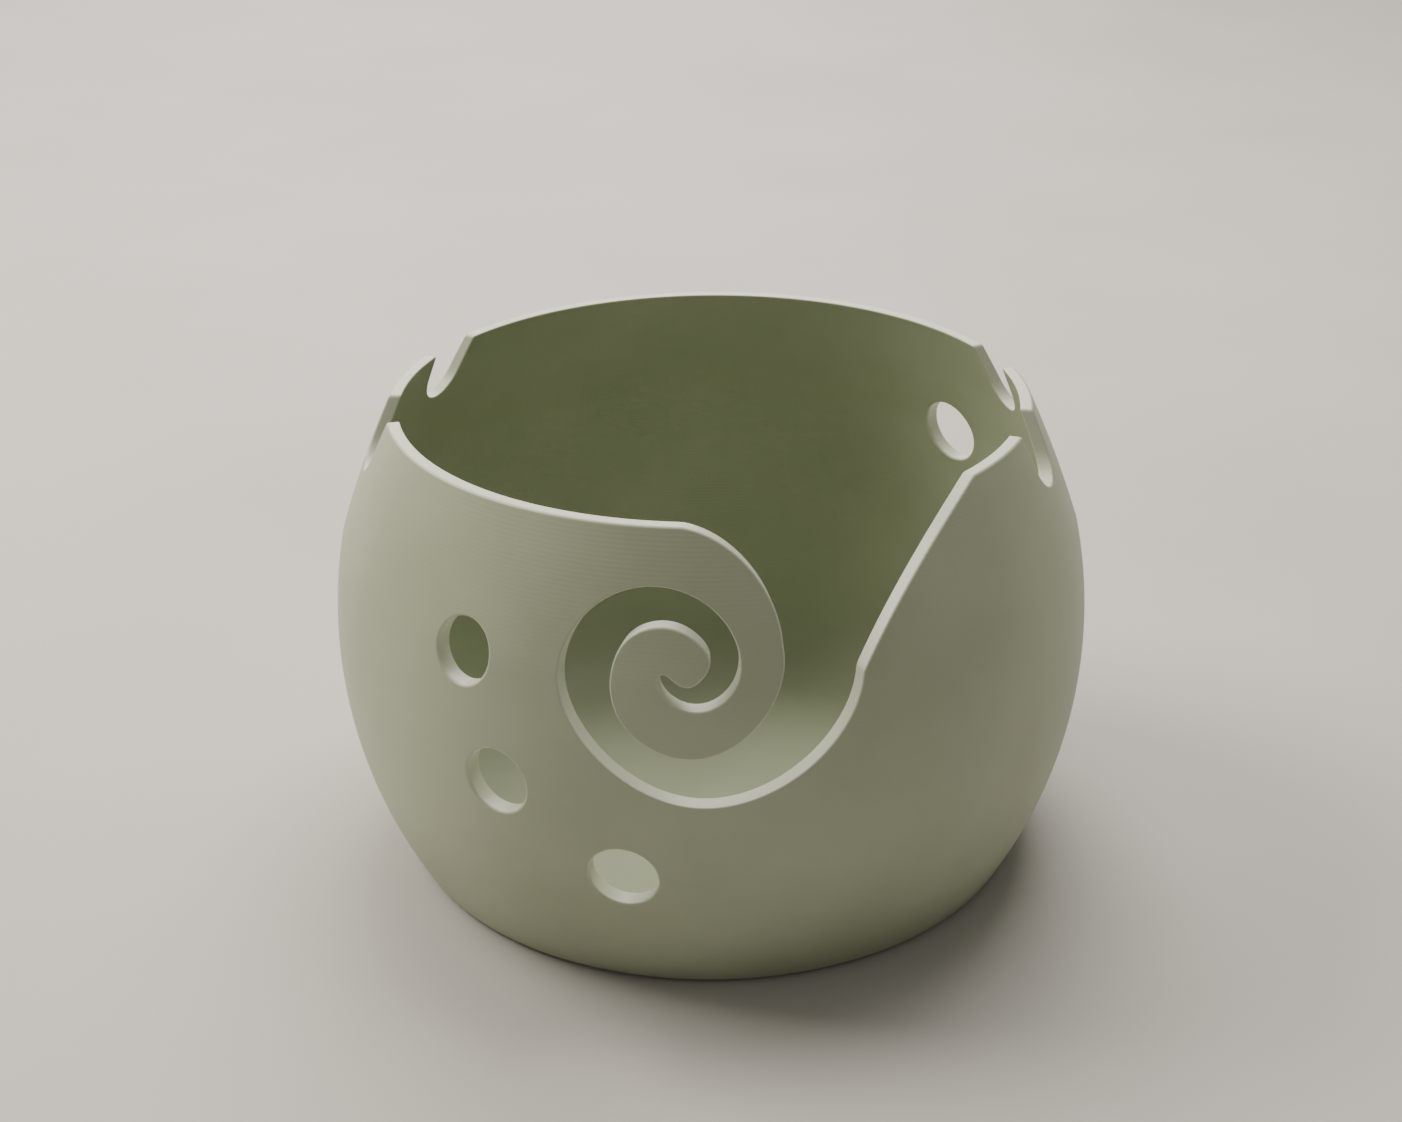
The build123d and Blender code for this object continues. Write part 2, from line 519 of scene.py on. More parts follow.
def circle_centre(a: np.ndarray, b: np.ndarray, c: np.ndarray) -> np.ndarray:
    """Centre of the circle through three points, which is equally far from the first and each other."""
    return np.linalg.solve(2 * np.array([b - a, c - a]), [b @ b - a @ a, c @ c - a @ a])


def arc_through(start: tuple, middle: tuple, end: tuple, spacing: float) -> np.ndarray:
    """The circular arc from start to end through middle, as evenly spaced points."""
    a, b, c = (np.array(p, float) for p in (start, middle, end))
    centre = circle_centre(a, b, c)
    first, mid, last = (math.atan2(*(p - centre)[::-1]) for p in (a, b, c))
    turn = (last - first) % (2 * math.pi)
    if (mid - first) % (2 * math.pi) > turn:
        turn -= 2 * math.pi
    radius = np.linalg.norm(a - centre)
    angle = first + np.linspace(0, turn, max(4, int(abs(turn) * radius / spacing) + 1))
    return centre + radius * np.stack([np.cos(angle), np.sin(angle)], -1)


def straight(start: tuple, end: tuple, spacing: float) -> np.ndarray:
    """Evenly spaced points on the line from start to end."""
    a, b = np.array(start, float), np.array(end, float)
    count = max(3, int(np.linalg.norm(b - a) / spacing) + 1)
    return a + np.linspace(0, 1, count)[:, None] * (b - a)


def trimmed_end(path: np.ndarray, length: float) -> np.ndarray:
    """The path without its last stretch of that length."""
    run = np.concatenate([[0], np.cumsum(np.linalg.norm(np.diff(path, axis=0), axis=1))])
    stop = run[-1] - length
    keep = run < stop - 0.05
    end = np.array([np.interp(stop, run, path[:, i]) for i in range(2)])
    return np.concatenate([path[keep], end[None]])


def joined(pieces: list[np.ndarray], corner: float, sharpest: float = 0.12) -> np.ndarray:
    """Path pieces joined end to end. A corner is eased by a short curve that leaves the first piece and
    enters the second smoothly: (1-t)^2 times the start, 2t(1-t) times the corner, t^2 times the end.

    Args:
        pieces: paths, each starting where the last one ends.
        corner: how far from a corner its easing starts.
        sharpest: the turn, in radians, below which two pieces already run smoothly into each other.

    Returns:
        The whole path.
    """
    path = pieces[0]
    for piece in pieces[1:]:
        before, after = unit(path[-1] - path[-2]), unit(piece[1] - piece[0])
        turn = math.acos(float(np.clip(before @ after, -1, 1)))
        if turn < sharpest:
            path = np.concatenate([path[:-1], piece])
            continue
        tip = piece[0]
        path, rest = trimmed_end(path, corner), trimmed_end(piece[::-1], corner)[::-1]
        t = np.linspace(0, 1, 7)[1:-1, None]
        ease = (1 - t) ** 2 * path[-1] + 2 * t * (1 - t) * tip + t**2 * rest[0]
        path = np.concatenate([path, ease, rest])
    return path


# The bowl's shell


@dataclass(frozen=True)
class WallProfile:
    """The shell's lathe profile in millimetres. Heights are above its own underside."""

    height: float = 97.0
    foot_radius: float = 65.0
    crease_radius: float = 75.5
    crease_height: float = 70.8
    rim_radius: float = 65.0
    lower_bulge: float = 6.7
    upper_bulge: float = 0.42
    foot_wall: float = 4.6
    crease_wall: float = 3.5
    rim_wall: float = 2.6
    floor: float = 3.0
    corner_radius: float = 22.0
    foot_round: float = 0.8
    crease_softness: float = 0.2

    def thickness(self, h: np.ndarray) -> np.ndarray:
        """Level thickness of the wall, which changes evenly from foot to crease and crease to rim."""
        heights = (0, self.crease_height, self.height)
        return np.interp(h, heights, (self.foot_wall, self.crease_wall, self.rim_wall))

    @staticmethod
    def _arc(start: tuple, end: tuple, bulge: float) -> tuple[float, float, float]:
        """Centre and radius of the arc that stands out from the chord from start to end by bulge."""
        chord = math.hypot(end[0] - start[0], end[1] - start[1])
        radius = (chord**2 / 4 + bulge**2) / (2 * bulge)
        across = ((end[1] - start[1]) / chord, (start[0] - end[0]) / chord)
        middle, inset = ((start[0] + end[0]) / 2, (start[1] + end[1]) / 2), bulge - radius
        return middle[0] + across[0] * inset, middle[1] + across[1] * inset, radius

    @property
    def lower(self) -> tuple[float, float, float]:
        """The belly's arc, from the foot to the crease."""
        crease = (self.crease_radius, self.crease_height)
        return self._arc((self.foot_radius, 0), crease, self.lower_bulge)

    @property
    def upper(self) -> tuple[float, float, float]:
        """The arc from the crease to the rim."""
        crease = (self.crease_radius, self.crease_height)
        return self._arc(crease, (self.rim_radius, self.height), self.upper_bulge)

    def _inner_arc(self, start: float, end: float) -> tuple[float, float, float]:
        """Centre and radius of the inner face's arc between two heights. It has the level thickness at
        both and half way."""
        points = [
            np.array([float(self.outside(h) - self.thickness(h)), h])
            for h in (start, (start + end) / 2, end)]
        centre = circle_centre(*points)
        return centre[0], centre[1], math.hypot(*(points[0] - centre))

    @property
    def inner_lower(self) -> tuple[float, float, float]:
        """The inner face's arc from the floor to the crease."""
        return self._inner_arc(self.floor, self.crease_height)

    @property
    def inner_upper(self) -> tuple[float, float, float]:
        """The inner face's arc from the crease to the rim."""
        return self._inner_arc(self.crease_height, self.height)

    @property
    def corner(self) -> tuple[float, float, float, float]:
        """The inside corner's arc: its centre, then where it meets the wall, as (radius, height)."""
        r, h, size = self.inner_lower
        centre_h = self.floor + self.corner_radius
        reach = size - self.corner_radius
        centre_r = r + math.sqrt(reach**2 - (centre_h - h) ** 2)
        way = np.array([centre_r - r, centre_h - h]) / reach
        return centre_r, centre_h, r + way[0] * size, h + way[1] * size

    def _radius(self, h: np.ndarray, lower: tuple, upper: tuple) -> np.ndarray:
        """Radius at a height: that of the lower arc below the crease, of the upper arc above it."""
        below = lower[0] + np.sqrt(lower[2] ** 2 - (h - lower[1]) ** 2)
        above = upper[0] + np.sqrt(upper[2] ** 2 - (h - upper[1]) ** 2)
        return np.where(h < self.crease_height, below, above)

    def outside(self, h: np.ndarray) -> np.ndarray:
        """Outside radius at a height."""
        return self._radius(h, self.lower, self.upper)

    def inside(self, h: np.ndarray) -> np.ndarray:
        """Inside radius at a height: that of the inner face's two arcs, or of the floor corner's arc."""
        centre_r, centre_h, _, meet_h = self.corner
        drop = np.clip(centre_h - h, 0, self.corner_radius)
        corner = centre_r + np.sqrt(self.corner_radius**2 - drop**2)
        return np.where(h < meet_h, corner, self._radius(h, self.inner_lower, self.inner_upper))

    def outside_slope(self, h: np.ndarray) -> np.ndarray:
        """How fast the outside radius grows with height, eased across the crease."""
        return self._slope(h, self.lower, self.upper)

    def _slope(self, h: np.ndarray, lower: tuple, upper: tuple) -> np.ndarray:
        """How fast the radius grows with height along two arcs, eased across the crease."""
        below = -(h - lower[1]) / np.sqrt(lower[2] ** 2 - (h - lower[1]) ** 2)
        above = -(h - upper[1]) / np.sqrt(upper[2] ** 2 - (h - upper[1]) ** 2)
        t = np.clip((h - self.crease_height) / (2 * self.crease_softness) + 0.5, 0, 1)
        t = t * t * (3 - 2 * t)
        return below * (1 - t) + above * t

    def inside_slope(self, h: np.ndarray) -> np.ndarray:
        """How fast the inside radius grows with height."""
        centre_r, centre_h, _, meet_h = self.corner
        drop = np.clip(centre_h - h, 0, self.corner_radius * 0.999)
        corner = drop / np.sqrt(self.corner_radius**2 - drop**2)
        return np.where(h < meet_h, corner, self._slope(h, self.inner_lower, self.inner_upper))


@dataclass(frozen=True)
class SpiralGuide:
    """The yarn guide's outline, as (to the right, up) from the spiral's eye, on a flat front view."""

    eye_across: float = -3.0
    flat_radius: float = 71.0
    mouth_right: float = 60.4
    mouth_left: float = 3.6
    flare: tuple[float, float] = (42.3, -15.3)
    kink_across: float = 34.4
    shoulder: tuple[float, float] = (15.6, -5.9)
    tongue_side: tuple[float, float] = (21.5, 6.1)
    eye_end: tuple[float, float] = (0.5, 1.5)
    outer_turns: tuple[tuple[float, float], ...] = (
        (27.8, -13.8), (7.2, -23.8), (-11.9, -12.9), (-17.2, 1.2), (-12.4, 11.7), (-0.9, 16.3),
        (11.0, 11.2), (14.0, 3.2), (11.7, -2.3), (6.9, -4.8), (1.3, -2.4), (0.0, 0.3))
    tongue_turns: tuple[tuple[float, float], ...] = (
        (17.8, -6.4), (5.6, -14.0), (-5.6, -8.2), (-8.1, 0.6), (-5.4, 7.5), (0.7, 9.75),
        (7.0, 7.3), (9.0, 4.0), (7.8, 1.2), (4.9, -0.5), (2.4, 0.8), (1.8, 1.3))

    def path(self, wall: WallProfile, spacing: float) -> list[np.ndarray]:
        """The outline from the rim left of the mouth to the rim right of it.

        Args:
            wall: the shell's profile.
            spacing: about how far apart its points lie.

        Returns:
            Path pieces as (azimuth, height). The azimuth's sine is the distance to the right over the
            radius of the flat view.
        """
        rise = wall.height - wall.crease_height
        mouth_left, mouth_right = (self.mouth_left, rise), (self.mouth_right, rise)
        shoulder = (self.shoulder[0], rise + self.shoulder[1])
        flare = (self.flare[0], rise + self.flare[1])
        kink = (self.kink_across, 0.0)
        pieces = [
            arc_through(mouth_left, shoulder, self.tongue_side, spacing),
            spline_through(np.array([self.tongue_side, *self.tongue_turns]), spacing),
            arc_through(self.tongue_turns[-1], self.eye_end, self.outer_turns[-1], spacing / 3),
            spline_through(np.array([kink, *self.outer_turns]), spacing)[::-1],
            arc_through(kink, flare, mouth_right, spacing),
        ]
        flat = [piece + (self.eye_across, wall.crease_height) for piece in pieces]
        return [np.stack([np.arcsin(p[:, 0] / self.flat_radius), p[:, 1]], -1) for p in flat]


@dataclass(frozen=True)
class RimNotch:
    """A notch in the rim: a round floor and two straight sides that open to the mouth."""

    angle: float
    floor_radius: float = 6.2
    depth: float = 12.0
    mouth_front: float = 6.4
    mouth_back: float = 8.2
    mouth_rise: float = 1.0

    def path(self, wall: WallProfile, spacing: float) -> list[np.ndarray]:
        """Its outline in order of azimuth: down the front side, round the floor, and up the back side.

        Args:
            wall: the shell's profile.
            spacing: about how far apart its points lie.

        Returns:
            Path pieces as (azimuth, height).
        """
        centre = np.array([0, self.floor_radius - self.depth])

        def side(corner: tuple[float, float], way: float) -> tuple[np.ndarray, np.ndarray, float]:
            """Where a mouth corner's side crosses the rim and touches the floor, and that angle."""
            reach = np.array(corner) - centre
            opening = math.acos(self.floor_radius / math.hypot(*reach))
            angle = math.atan2(reach[1], reach[0]) + way * opening
            touch = centre + self.floor_radius * np.array([math.cos(angle), math.sin(angle)])
            share = corner[1] / (corner[1] - touch[1])
            return np.array(corner) + share * (touch - corner), touch, angle

        front, front_touch, front_angle = side((-self.mouth_front, self.mouth_rise), 1)
        back, back_touch, back_angle = side((self.mouth_back, self.mouth_rise), -1)
        count = int(math.pi * self.floor_radius / spacing)
        sweep = np.linspace(front_angle, back_angle + 2 * math.pi, count)
        floor = centre + self.floor_radius * np.stack([np.cos(sweep), np.sin(sweep)], -1)
        flat = [straight(front, front_touch, spacing), floor, straight(back_touch, back, spacing)]
        middle = math.radians(abs(self.angle))
        found = []
        for piece in flat:
            h = wall.height + piece[:, 1]
            radius = wall.outside(h) - wall.thickness(h) / 2
            found.append(np.stack([middle + np.arcsin(piece[:, 0] / radius), h], -1))
        if self.angle < 0:
            found = [piece[::-1] * (-1, 1) for piece in found[::-1]]
        return found


@dataclass(frozen=True)
class NeedleHole:
    """A round hole through the wall, level and pointing at the axis."""

    angle: float
    height: float
    diameter: float


@dataclass
class BowlShell:
    """The bowl itself: a printed shell of revolution with the guide, notches, holes and pad seats."""

    wall: WallProfile = field(default_factory=WallProfile)
    guide: SpiralGuide = field(default_factory=SpiralGuide)
    notch_angles: tuple[float, ...] = (-113.4, -78.9, 78.9, 113.4)
    holes: tuple[NeedleHole, ...] = (
        NeedleHole(-32.4, 70.2, 12.4), NeedleHole(-26.2, 46.4, 13.2),
        NeedleHole(-7.8, 29.8, 13.4), NeedleHole(135.8, 69.4, 14.0))
    underside: float = 0.6
    rim_round: float = 0.4
    hole_round: float = 0.6
    corner_ease: float = 0.65
    path_spacing: float = 0.7
    sheet_spacing: float = 2.0
    round_steps: int = 4
    ring_points: int = 240
    split_angle: float = 30.0
    corner_steps: int = 22
    floor_rings: int = 14
    foot_steps: int = 7
    seat_points: int = 48
    lattice_spacing: float = 4.0
    lattice_gap: float = 1.5
    seat_radius: float = 6.3
    seat_depth: float = 1.2
    pad_circle: float = 52.0
    pad_angles: tuple[float, ...] = (45.0, 135.0, 225.0, 315.0)

    def unrolled(self, azimuth: np.ndarray) -> np.ndarray:
        """Distance round the wall at the guide's flat radius, for an azimuth."""
        return azimuth * self.guide.flat_radius

    def rim_path(self) -> np.ndarray:
        """The upper outline, from the back round the left, front and right to the back again, as
        (azimuth, height), with the material on the right-hand side."""
        cuts = [RimNotch(a).path(self.wall, self.path_spacing) for a in self.notch_angles]
        cuts.insert(len(cuts) // 2, self.guide.path(self.wall, self.path_spacing))
        top, pieces, at = self.wall.height, [], -math.pi
        scale = np.array([self.guide.flat_radius, 1.0])
        for cut in cuts:
            pieces.append(straight(scale * (at, top), scale * (cut[0][0, 0], top), self.path_spacing * 2))
            pieces.extend(piece * scale for piece in cut)
            at = cut[-1][-1, 0]
        pieces.append(straight(scale * (at, top), scale * (math.pi, top), self.path_spacing * 2))
        return joined(pieces, self.corner_ease) / scale

    def hole_loop(self, hole: NeedleHole, grown: float) -> np.ndarray:
        """A hole's outline on the outer face as (azimuth, height), with the material on the right.

        Args:
            hole: which hole.
            grown: how much larger than the hole the loop's radius is.

        Returns:
            Its points. On a flat view along its axis they lie on a circle.
        """
        radius = hole.diameter / 2
        count = int(2 * math.pi * radius / self.path_spacing)
        turn = np.linspace(0, 2 * math.pi, count, endpoint=False)
        x, h = (radius + grown) * np.cos(turn), hole.height + (radius + grown) * np.sin(turn)
        return np.stack([math.radians(hole.angle) + np.arcsin(x / self.wall.outside(h)), h], -1)

    def into_material(self, path: np.ndarray, closed: bool) -> np.ndarray:
        """The direction from each path point into the wall, as (round, up) of length one: the path's own
        direction, in true lengths on the outer face, turned to the right by a right angle."""
        if closed:
            along = np.roll(path, -1, 0) - np.roll(path, 1, 0)
        else:
            along = np.gradient(path, axis=0)
            along[[0, -1], 1] = 0
        along = along * np.stack([self.wall.outside(path[:, 1]), np.ones(len(path))], -1)
        return unit(np.stack([along[:, 1], -along[:, 0]], -1))

    def placed(self, azimuth: np.ndarray, h: np.ndarray, radius: np.ndarray) -> np.ndarray:
        """Points in space from azimuth, height above the underside, and distance from the axis."""
        return np.stack([radius * np.sin(azimuth), -radius * np.cos(azimuth), h + self.underside], -1)

    def wall_normals(self, azimuth: np.ndarray, slope: np.ndarray) -> np.ndarray:
        """Outward normals of a lathe surface whose radius grows with height at that slope."""
        return unit(np.stack([np.sin(azimuth), -np.cos(azimuth), -slope], -1))

    def lip(self, path: np.ndarray, size: float, pole: float | None) -> Patch:
        """The edge round a cut: a quarter round off the outer face, the cut itself, and a quarter round
        on to the inner face, carried along the path. At an angle a from the face, the quarter round lies
        r(1 - sin a) into the material and r(1 - cos a) below the face.

        Args:
            path: the cut's outline as (azimuth, height).
            size: the quarter rounds' radius.
            pole: for a hole, whose sides are parallel and whose path is a loop, the azimuth that it
                points along; None for an open path, whose sides point at the axis.

        Returns:
            The edge's surface.
        """
        wall, closed = self.wall, pole is not None
        into = self.into_material(path, closed)
        angle = np.linspace(0, math.pi / 2, self.round_steps + 1)
        inset = np.concatenate([size * (1 - np.sin(angle)), size * (1 - np.sin(angle[::-1]))])
        below = np.concatenate([size * (1 - np.cos(angle)), size * (1 - np.cos(angle[::-1]))])
        lean = np.concatenate([angle, math.pi - angle[::-1]])
        outer_half = (lean <= math.pi / 2)[:, None] & (np.arange(len(lean)) <= self.round_steps)[:, None]
        h = path[:, 1] + inset[:, None] * into[:, 1]
        azimuth = path[:, 0] + inset[:, None] * into[:, 0] / wall.outside(path[:, 1])
        radius = np.where(outer_half, wall.outside(h) - below[:, None], wall.inside(h) + below[:, None])
        if pole is not None:
            azimuth = pole + np.arcsin(np.sin(azimuth - pole) * wall.outside(h) / radius)
        flat = np.zeros_like(azimuth)
        round_way = np.stack([np.cos(azimuth), np.sin(azimuth), flat], -1)
        out_of_cut = -(into[:, :1] * round_way + into[:, 1:] * np.array([0.0, 0.0, 1.0]))
        outer = self.wall_normals(azimuth, wall.outside_slope(h))
        inner = -self.wall_normals(azimuth, wall.inside_slope(h))
        face = np.where(outer_half[..., None], outer, inner)
        points = self.placed(azimuth, h, radius)
        across = unit(points[self.round_steps + 1] - points[self.round_steps])
        out_of_cut = unit(out_of_cut - (out_of_cut * across).sum(-1, keepdims=True) * across)
        tilt = np.abs(np.cos(lean))[:, None, None]
        normals = unit(tilt * face + np.sin(lean)[:, None, None] * out_of_cut)
        rows = len(lean)
        triangles = grid_triangles(rows, len(path), closed)
        mask = np.repeat(np.sin(lean), len(path))
        return Patch(points.reshape(-1, 3), normals.reshape(-1, 3), triangles, mask)

    def sheet(
        self, path: np.ndarray, bottom: float, loops: list[np.ndarray]
    ) -> tuple[np.ndarray, np.ndarray]:
        """Triangles over the unrolled wall, from a bottom height up to the path, less the holes.

        Args:
            path: the upper outline as (azimuth, height).
            bottom: the bottom edge's height.
            loops: the holes' outlines as (azimuth, height).

        Returns:
            Points as (azimuth, height) and triangles.
        """
        scale = np.array([self.guide.flat_radius, 1.0])
        azimuths = np.linspace(-math.pi, math.pi, self.ring_points + 1)
        crease, step = self.wall.crease_height, self.sheet_spacing
        below = np.linspace(bottom, crease, int((crease - bottom) / step) + 1)
        above = np.linspace(crease, path[0, 1], int((path[0, 1] - crease) / step) + 1)[1:]
        heights = np.concatenate([below, above])
        seam = heights[1:-1]
        outline = np.concatenate([
            path, np.stack([np.full(len(seam), math.pi), seam[::-1]], -1),
            np.stack([azimuths[::-1], np.full(len(azimuths), bottom)], -1),
            np.stack([np.full(len(seam), -math.pi), seam], -1)])
        grid = np.stack(np.meshgrid(azimuths[1:-1], seam), -1)
        grid[::2, :, 0] += (azimuths[1] - azimuths[0]) / 2
        grid = grid.reshape(-1, 2)
        grid = grid[np.abs(grid[:, 0]) < math.pi - 0.6 * (azimuths[1] - azimuths[0])]
        flat, triangles = trimmed_sheet(
            outline * scale, [loop * scale for loop in loops], grid * scale, 0.45 * step)
        return flat / scale, triangles

    def wall_patches(self) -> list[Patch]:
        """The outer face, the inner face and every cut's edge."""
        wall = self.wall
        path = self.rim_path()
        into = self.into_material(path, False)
        reach = np.stack([wall.outside(path[:, 1]), np.ones(len(path))], -1)
        face_path = path + self.rim_round * into / reach
        outer_loops, inner_loops, lips = [], [], [self.lip(path, self.rim_round, None)]
        for hole in self.holes:
            loop, pole = self.hole_loop(hole, 0.0), math.radians(hole.angle)
            lips.append(self.lip(loop, self.hole_round, pole))
            count = len(loop)
            first, last = lips[-1].points[:count], lips[-1].points[-count:]
            for rim, found in ((first, outer_loops), (last, inner_loops)):
                azimuth = np.arctan2(rim[:, 0], -rim[:, 1])
                found.append(np.stack([azimuth, rim[:, 2] - self.underside], -1))
        _, _, _, foot = self.foot_arc()
        flat, triangles = self.sheet(face_path, foot, outer_loops)
        outer = Patch(
            self.placed(flat[:, 0], flat[:, 1], wall.outside(flat[:, 1])),
            self.wall_normals(flat[:, 0], wall.outside_slope(flat[:, 1])), triangles, np.zeros(len(flat)))
        flat, triangles = self.sheet(face_path, self.floor_split(), inner_loops)
        inner = Patch(
            self.placed(flat[:, 0], flat[:, 1], wall.inside(flat[:, 1])),
            self.wall_normals(flat[:, 0], wall.inside_slope(flat[:, 1])), triangles, np.zeros(len(flat)))
        return [outer, inner.flipped(), *lips]

    def floor_split(self) -> float:
        """Height on the inside corner's arc, below the lowest hole, where the inner face becomes the
        floor's lathe surface."""
        return self.wall.corner[1] - self.wall.corner_radius * math.sin(math.radians(self.split_angle))

    def foot_arc(self) -> tuple[float, float, float, float]:
        """The foot edge's arc: its centre, then where it meets the outer face, as (radius, height)."""
        r, h, size = self.wall.lower
        edge = self.wall.foot_round
        reach = size - edge
        centre = r + math.sqrt(reach**2 - (edge - h) ** 2)
        way = np.array([centre - r, edge - h]) / reach
        return centre, edge, r + way[0] * size, h + way[1] * size

    def floor_patch(self) -> Patch:
        """The inside corner and the floor, a lathe surface that ends on the axis."""
        centre_r, centre_h, _, _ = self.wall.corner
        size = self.wall.corner_radius
        angle = np.linspace(-math.radians(self.split_angle), -math.pi / 2, self.corner_steps)
        arc = np.stack([centre_r + size * np.cos(angle), centre_h + size * np.sin(angle)], -1)
        facing = np.stack([-np.cos(angle), -np.sin(angle)], -1)
        rings = np.linspace(centre_r, 0, self.floor_rings)[1:]
        flat = np.stack([rings, np.full(len(rings), self.wall.floor)], -1)
        profile = np.concatenate([arc, flat]) + (0, self.underside)
        normals = np.concatenate([facing, np.tile((0.0, 1.0), (len(flat), 1))])
        azimuths = np.linspace(-math.pi, math.pi, self.ring_points + 1)[:-1]
        return turned(profile, normals, azimuths, Ring.END_ON_AXIS)

    def underside_patches(self) -> list[Patch]:
        """The rounded foot edge, the flat underside, and the four seats sunk into it."""
        centre, edge, meet_r, meet_h = self.foot_arc()
        start = math.atan2(meet_h - edge, meet_r - centre)
        angle = np.linspace(start, -math.pi / 2, self.foot_steps)
        arc = np.stack([centre + edge * np.cos(angle), edge + edge * np.sin(angle) + self.underside], -1)
        azimuths = np.linspace(-math.pi, math.pi, self.ring_points + 1)[:-1]
        facing = np.stack([np.cos(angle), np.sin(angle)], -1)
        foot = turned(arc, facing, azimuths, Ring.OPEN).flipped_winding()
        rim = np.stack([centre * np.sin(azimuths), -centre * np.cos(azimuths)], -1)
        turn = np.linspace(0, 2 * math.pi, self.seat_points, endpoint=False)
        circle = self.seat_radius * np.stack([np.cos(turn), np.sin(turn)], -1)
        places = np.radians(self.pad_angles)
        seats = [circle + at for at in self.pad_circle * np.stack([np.cos(places), np.sin(places)], -1)]
        reach = self.wall.foot_radius + 1
        lines = np.arange(-reach, reach + 1, self.lattice_spacing)
        lattice = np.stack(np.meshgrid(lines, lines), -1).reshape(-1, 2)
        flat, triangles = trimmed_sheet(rim, seats, lattice, self.lattice_gap)
        down = np.array([0.0, 0.0, -1.0])
        plane = Patch(
            np.concatenate([flat, np.full((len(flat), 1), self.underside)], -1),
            np.tile(down, (len(flat), 1)), triangles[:, ::-1], np.zeros(len(flat)))
        patches = [foot, plane]
        for seat in seats:
            low = np.concatenate([seat, np.full((len(seat), 1), self.underside)], -1)
            high = low + (0, 0, self.seat_depth)
            middle = high.mean(0, keepdims=True)
            towards = unit((middle - high) * (1, 1, 0))
            side = Patch(
                np.concatenate([low, high]), np.tile(towards, (2, 1)),
                grid_triangles(2, len(seat), True)[:, ::-1], np.zeros(2 * len(seat)))
            count = np.arange(len(seat))
            fan = np.stack([np.full(len(seat), len(seat)), (count + 1) % len(seat), count], -1)
            roof = Patch(
                np.concatenate([high, middle]), np.tile(down, (len(seat) + 1, 1)), fan,
                np.zeros(len(seat) + 1))
            patches += [side, roof]
        return patches

    def build(self, finish: SatinPrintedPla) -> bpy.types.Object:
        """Builds the shell as one closed mesh that stands for its CAD node.

        Args:
            finish: what it is made of.

        Returns:
            The piece.
        """
        patches = [*self.wall_patches(), self.floor_patch(), *self.underside_patches()]
        piece = mesh_object("printed_bowl", patches, finish.build())
        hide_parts("bowl_shell")
        LOG.info("%s: %d triangles", piece.name, len(piece.data.polygons))
        return piece


@dataclass
class FootPads:
    """Four stick-on pads: a short disc with a rounded, slightly crowned lower face."""

    diameter: float = 12.0
    thickness: float = 1.8
    edge_round: float = 0.5
    crown: float = 0.12
    circle_radius: float = 52.0
    round_steps: int = 7
    crown_rings: int = 8
    top_rings: int = 5
    ring_points: int = 64
    places: dict[str, float] = field(default_factory=lambda: {
        "back_right": 45.0, "back_left": 135.0, "front_left": 225.0, "front_right": 315.0})

    def pad_patch(self) -> Patch:
        """One pad about the axis: its top disc, its side, its rounded edge and its crowned face, whose
        height falls with the square of the radius."""
        radius, size = self.diameter / 2, self.edge_round
        angle = np.linspace(0, -math.pi / 2, self.round_steps)
        side = np.array([[radius, self.thickness], [radius, (self.thickness + size) / 2]])
        bend = np.stack([radius - size + size * np.cos(angle), size + size * np.sin(angle)], -1)
        rings = np.linspace(radius - size, 0, self.crown_rings)[1:]
        crown = np.stack([rings, self.crown * (1 - (rings / (radius - size)) ** 2)], -1)
        top_rings = np.linspace(radius, 0, self.top_rings)
        top = np.stack([top_rings, np.full(self.top_rings, self.thickness)], -1)
        lower = np.concatenate([side, bend, crown])
        slopes = np.concatenate([
            np.tile((1.0, 0.0), (2, 1)), np.stack([np.cos(angle), np.sin(angle)], -1),
            np.tile((0.0, -1.0), (len(rings), 1))])
        azimuths = np.linspace(-math.pi, math.pi, self.ring_points, endpoint=False)
        under = turned(lower, slopes, azimuths, Ring.END_ON_AXIS).flipped_winding()
        over = turned(top, np.tile((0.0, 1.0), (len(top), 1)), azimuths, Ring.END_ON_AXIS)
        start = len(under.points)
        return Patch(
            np.concatenate([under.points, over.points]), np.concatenate([under.normals, over.normals]),
            np.concatenate([under.triangles, over.triangles + start]), np.zeros(start + len(over.points)))

    def build(self, finish: MouldedSilicone) -> list[bpy.types.Object]:
        """Builds each pad in its seat, standing for its CAD node.

        Args:
            finish: what they are made of.

        Returns:
            The pads.
        """
        material, pads = finish.build(), []
        for place, angle in self.places.items():
            patch = self.pad_patch()
            turn = math.radians(angle)
            patch.points += self.circle_radius * np.array([math.cos(turn), math.sin(turn), 0])
            pad = mesh_object(f"silicone_pad_{place}", [patch], material)
            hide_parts(f"foot_pad_{place}")
            LOG.info("%s: %d triangles", pad.name, len(pad.data.polygons))
            pads.append(pad)
        return pads


# Studio


@dataclass(frozen=True)
class SoftLight:
    """A rectangular soft light, in metres and watts, that points at the bowl."""

    name: str
    place: tuple[float, float, float]
    width: float
    power: float
    colour: str

    def build(self, aim: Vector) -> bpy.types.Object:
        """Hangs the light and turns it to the bowl.

        Args:
            aim: where it points.

        Returns:
            The light.
        """
        data = bpy.data.lights.new(self.name, "AREA")
        data.shape, data.size, data.energy = "SQUARE", self.width, self.power
        data.color = linear(self.colour)[:3]
        light = bpy.data.objects.new(self.name, data)
        light.location = self.place
        light.rotation_euler = (aim - Vector(self.place)).to_track_quat("-Z", "Y").to_euler()
        bpy.context.scene.collection.objects.link(light)
        return light


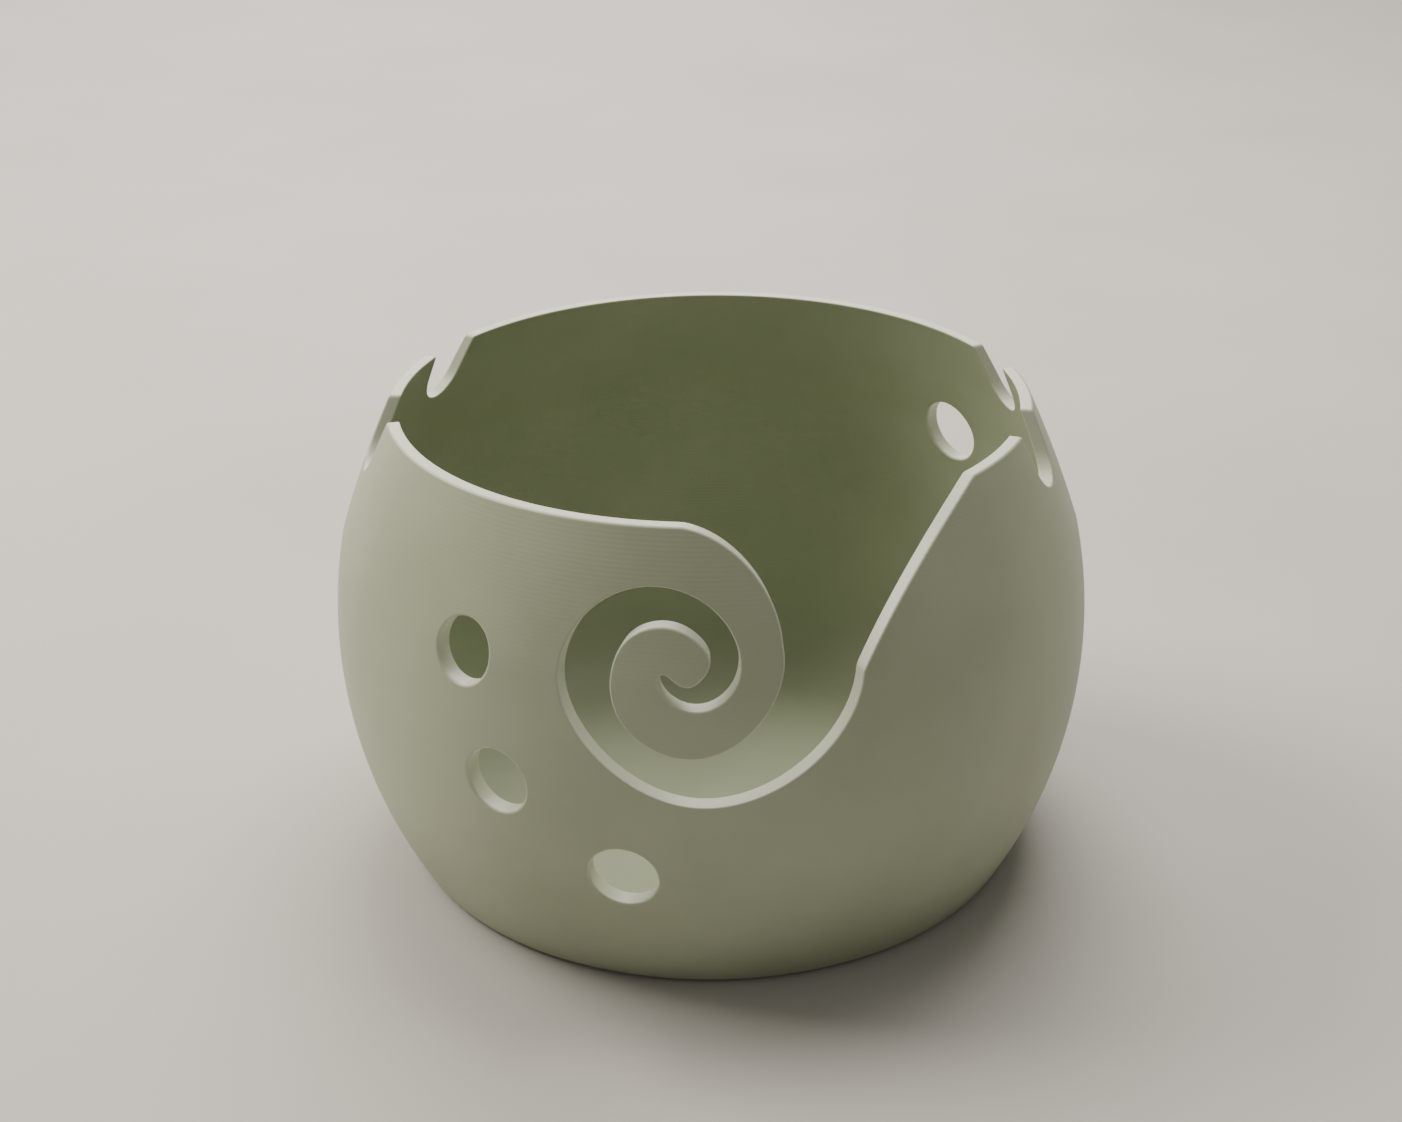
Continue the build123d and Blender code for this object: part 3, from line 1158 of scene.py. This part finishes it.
@dataclass
class Studio:
    """Floor, backdrop light, soft lights and the camera."""

    azimuth: float = 5.0
    elevation: float = 26.94
    distance: float = 0.480
    aim_height: float = 0.0456
    yaw: float = math.degrees(0.0042)
    pitch: float = math.degrees(0.0276)
    roll: float = math.degrees(0.0096)
    lens: float = 58.0
    floor_radius: float = 6.0
    sky: str = "#f2f0ec"
    sky_strength: float = 0.27
    lights: tuple[SoftLight, ...] = (
        SoftLight("window_left", (-0.80, 0.18, 0.78), 0.60, 12.0, "#fff9f0"),
        SoftLight("overhead", (0.05, 0.38, 0.95), 0.70, 10.0, "#fffcf6"),
        SoftLight("window_back", (-0.25, 1.10, 0.55), 0.90, 9.0, "#fffdf8"),
    )

    def build(self) -> None:
        """Sets up everything round the bowl."""
        self.floor()
        self.world()
        middle = (CAD_BOX[0] + CAD_BOX[1]) / 2
        for light in self.lights:
            light.build(middle)
        self.camera()

    def floor(self) -> None:
        """A wide flat round floor: rings of points at radii that grow by a fixed ratio."""
        rings = np.concatenate([np.geomspace(self.floor_radius, 0.02, 24) / MM, [0.0]])
        profile = np.stack([rings, np.zeros(len(rings))], -1)
        azimuths = np.linspace(-math.pi, math.pi, 96, endpoint=False)
        patch = turned(profile, np.tile((0.0, 1.0), (len(rings), 1)), azimuths, Ring.END_ON_AXIS)
        mesh = bpy.data.meshes.new("studio_floor")
        mesh.from_pydata((patch.points * MM).tolist(), [], patch.triangles.tolist())
        mesh.materials.append(PaleStudioFloor().build())
        floor = bpy.data.objects.new("studio_floor", mesh)
        bpy.context.scene.collection.objects.link(floor)

    def world(self) -> None:
        """Even pale light from all round."""
        world = bpy.data.worlds.new("soft_room")
        world.use_nodes = True
        world.node_tree.nodes.clear()
        light = add_node(world.node_tree, "ShaderNodeBackground", sockets={
            "Color": linear(self.sky), "Strength": self.sky_strength})
        add_node(world.node_tree, "ShaderNodeOutputWorld", sockets={"Surface": light.outputs[0]})
        bpy.context.scene.world = world

    def camera(self) -> None:
        """The camera: it stands at its azimuth, elevation and distance from a point on the bowl's axis,
        looks at it, and is then turned a little sideways, up and about its own axis."""
        up_angle, side = math.radians(self.elevation), math.radians(self.azimuth)
        turn = Matrix.Rotation(side, 3, "Z")
        back = turn @ Vector((0, -math.cos(up_angle), math.sin(up_angle)))
        right = turn @ Vector((1, 0, 0))
        ahead = -back
        up = right.cross(ahead)
        yaw = Matrix.Rotation(math.radians(self.yaw), 3, up)
        ahead, right = yaw @ ahead, yaw @ right
        pitch = Matrix.Rotation(math.radians(self.pitch), 3, right)
        ahead, up = pitch @ ahead, pitch @ up
        roll = Matrix.Rotation(math.radians(self.roll), 3, ahead)
        right, up = roll @ right, roll @ up
        data = bpy.data.cameras.new("camera")
        data.lens, data.sensor_width, data.clip_start, data.clip_end = self.lens, 36.0, 0.01, 50.0
        camera = bpy.data.objects.new("camera", data)
        place = back * self.distance + Vector((0, 0, self.aim_height))
        camera.matrix_world = Matrix((
            (right.x, up.x, -ahead.x, place.x), (right.y, up.y, -ahead.y, place.y),
            (right.z, up.z, -ahead.z, place.z), (0, 0, 0, 1)))
        bpy.context.scene.collection.objects.link(camera)
        bpy.context.scene.camera = camera


def main() -> None:
    """Builds the bowl, its pads and the studio, in that order."""
    logging.basicConfig(level=logging.INFO, format="%(name)s %(message)s")
    BowlShell().build(SatinPrintedPla())
    FootPads().build(MouldedSilicone())
    Studio().build()


if __name__ == "__main__":
    main()
